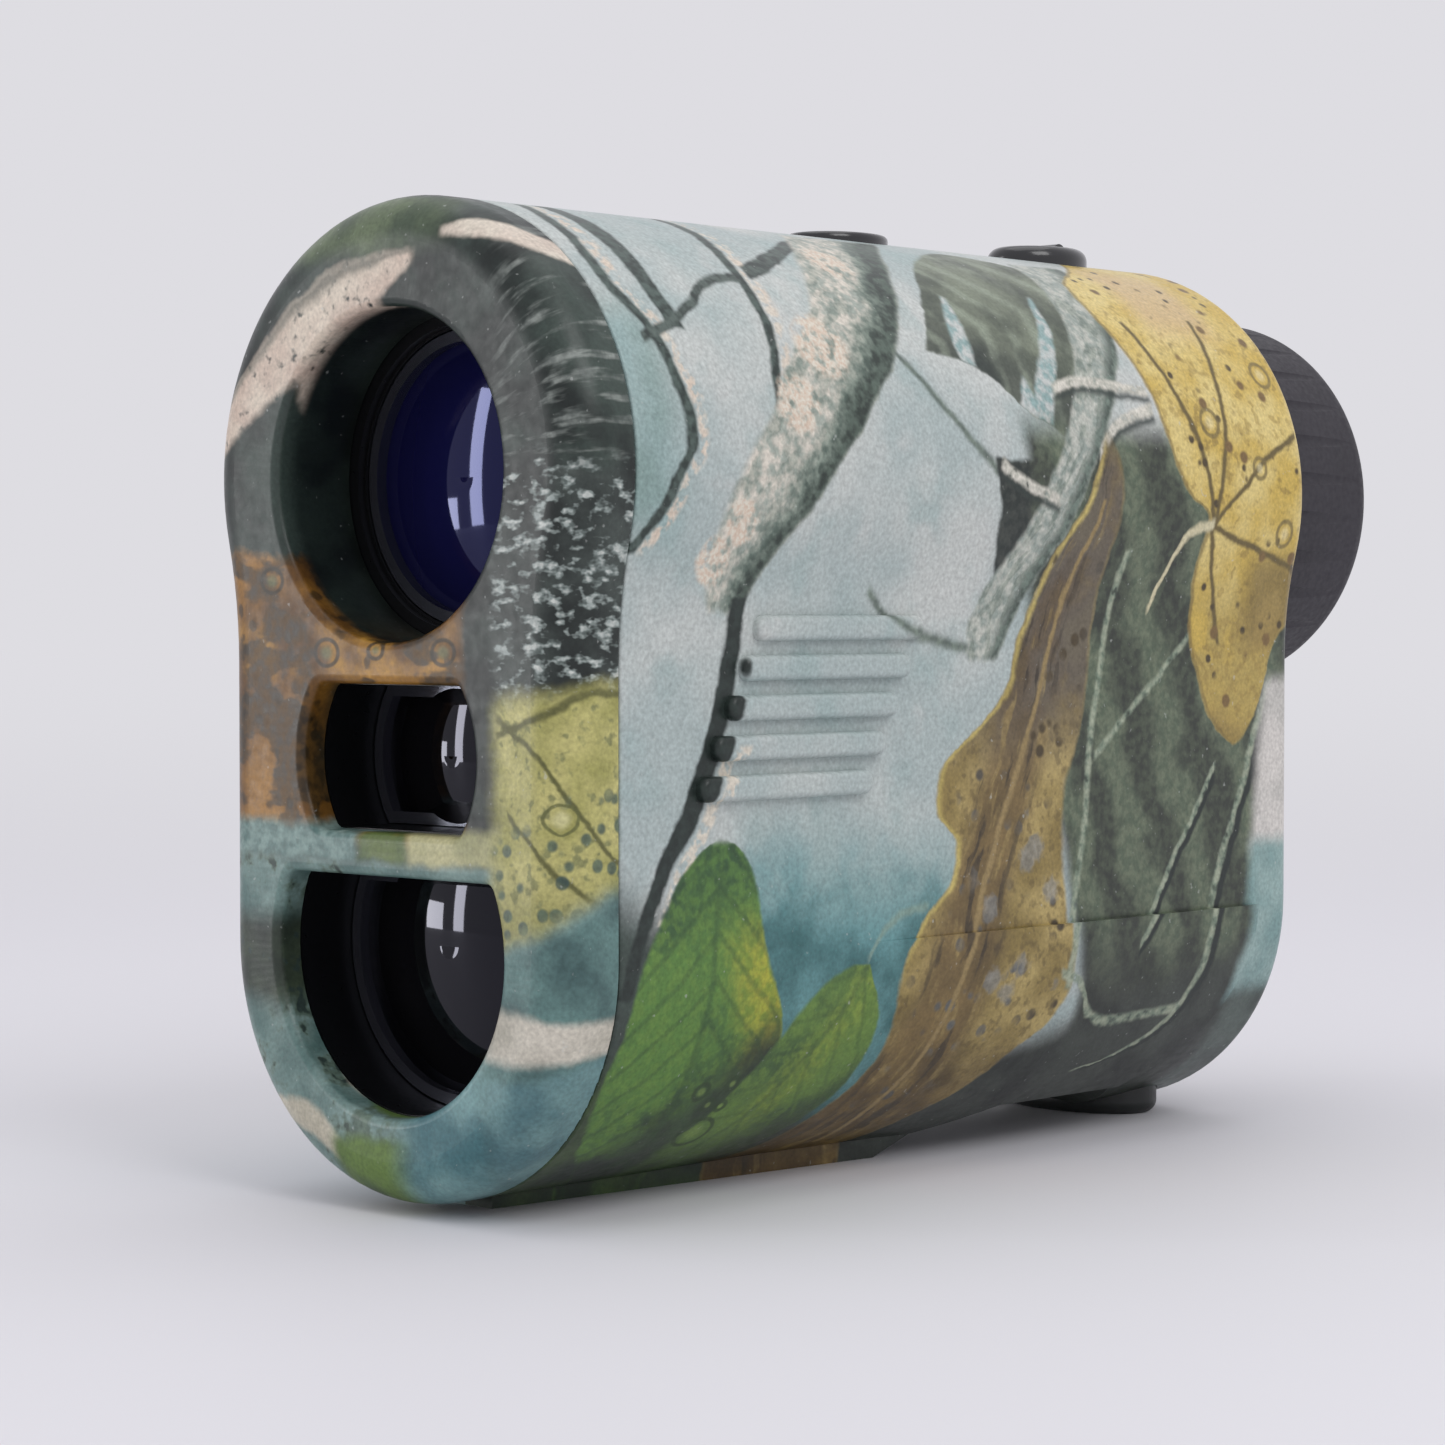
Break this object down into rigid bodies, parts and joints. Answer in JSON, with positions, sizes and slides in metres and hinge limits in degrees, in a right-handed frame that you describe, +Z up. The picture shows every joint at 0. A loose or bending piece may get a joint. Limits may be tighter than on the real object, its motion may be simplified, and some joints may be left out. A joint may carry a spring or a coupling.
{
  "type": "laser rangefinder",
  "caption": "Hand-held camouflage laser rangefinder with stacked front windows, top push buttons, turning eyepiece focus ring and round battery cap.",
  "frame": {"origin": "on the resting surface under the middle of the body's width and overall length", "axes": "+Y from the front windows to the eyepiece, +X across the body (the side that carries the main board is -X), +Z up"},
  "size_m": [0.0414, 0.1058, 0.0773],
  "materials": {
    "camo_bezel": "satin leaf-and-bark camouflage film",
    "camo_right": "satin leaf-and-bark camouflage film",
    "camo_left": "satin leaf-and-bark camouflage film",
    "foot_rubber": "smooth semi-gloss black rubber",
    "seal_rubber": "matte black rubber",
    "screw_steel": "black oxide",
    "inner_plastic": "moulded black plastic",
    "cell_black": "satin black",
    "ring_metal": "black anodised, bright edges",
    "coated_objective": "blue-violet anti-reflection coating",
    "coated_window": "dark coated glass",
    "optical_glass": "clear polished",
    "eyepiece_glass": "green anti-reflection coating",
    "display_glass": "clear display glass",
    "flex_film": "amber film",
    "barrel_metal": "black anodised",
    "pin_steel": "plain steel",
    "grip_rubber": "matte ribbed black rubber",
    "eyecup_rubber": "matte black rubber",
    "button_plastic": "satin-gloss black",
    "board_green": "green solder mask",
    "chip_black": "moulded component",
    "diode_metal": "gold-plated can",
    "battery_can": "printed plain sleeve",
    "cap_plastic": "satin black",
    "contact_brass": "plated brass"
  },
  "bodies": {
    "housing": {"front_bezel": "camo_bezel", "right_shell": "camo_right", "left_shell": "camo_left", "rear_foot": "foot_rubber", "bezel_gasket": "seal_rubber", "button_seal": "seal_rubber", "barrel_o_ring": "seal_rubber", "housing_screws": "screw_steel", "button_board_screws": "screw_steel", "main_board_screws": "screw_steel", "optical_frame": "inner_plastic", "prism_holder": "inner_plastic", "receiver_cone": "inner_plastic", "battery_tube": "inner_plastic", "display_frame": "inner_plastic", "laser_barrel": "inner_plastic", "objective_cell": "cell_black", "emitter_cell": "cell_black", "receiver_cell": "cell_black", "objective_retaining_ring": "ring_metal", "emitter_retaining_ring": "ring_metal", "receiver_retaining_ring": "ring_metal", "objective_front_lens": "coated_objective", "emitter_lens": "coated_window", "receiver_lens": "coated_window", "objective_rear_lens": "optical_glass", "front_prism": "optical_glass", "roof_prism": "optical_glass", "field_lens": "optical_glass", "display_panel": "display_glass", "display_flex": "flex_film", "eyepiece_barrel": "barrel_metal", "battery_spring": "pin_steel", "button_board": "board_green", "main_board": "board_green", "laser_board": "board_green", "photodiode_board": "board_green", "board_components": "chip_black", "tact_switches": "chip_black", "laser_diode": "diode_metal", "photodiode": "diode_metal", "battery_cell": "battery_can"},
    "measure_button": {"measure_button": "button_plastic"},
    "mode_button": {"mode_button": "button_plastic"},
    "focus_ring": {"diopter_core": "barrel_metal", "diopter_grip": "grip_rubber", "eyecup": "eyecup_rubber"},
    "lens_carriage": {"eyepiece_carriage": "barrel_metal", "eyepiece_inner_lens": "optical_glass", "eyepiece_outer_lens": "eyepiece_glass", "eyepiece_retaining_ring": "ring_metal", "focus_pin": "pin_steel"},
    "battery_cap": {"battery_cap": "cap_plastic", "battery_cap_o_ring": "seal_rubber", "battery_cap_contact": "contact_brass"}
  },
  "joints": [
    {"name": "measure_button_press", "type": "slide", "parent": "housing", "child": "measure_button", "axis": [0, 0, -1], "range_m": [0, 0.0006], "stiffness_N_per_m": 1500, "springref_m": -0.0003},
    {"name": "mode_button_press", "type": "slide", "parent": "housing", "child": "mode_button", "axis": [0, 0, -1], "range_m": [0, 0.0006], "stiffness_N_per_m": 1500, "springref_m": -0.0003},
    {"name": "focus_ring_turn", "type": "hinge", "parent": "housing", "child": "focus_ring", "pos_m": [0, 0.0431, 0.05497], "axis": [0, 1, 0], "range_deg": [-150, 150]},
    {"name": "lens_carriage_travel", "type": "slide", "parent": "housing", "child": "lens_carriage", "axis": [0, 1, 0], "range_m": [-0.00125, 0.00125]},
    {"name": "battery_cap_turn", "type": "hinge", "parent": "housing", "child": "battery_cap", "pos_m": [0, 0.0341, 0.01968], "axis": [0, 1, 0], "range_deg": [0, 90]}
  ],
  "couplings": [
    {"joint": "focus_ring_turn", "follows": "lens_carriage_travel", "rad_per_m": 2094}
  ]
}
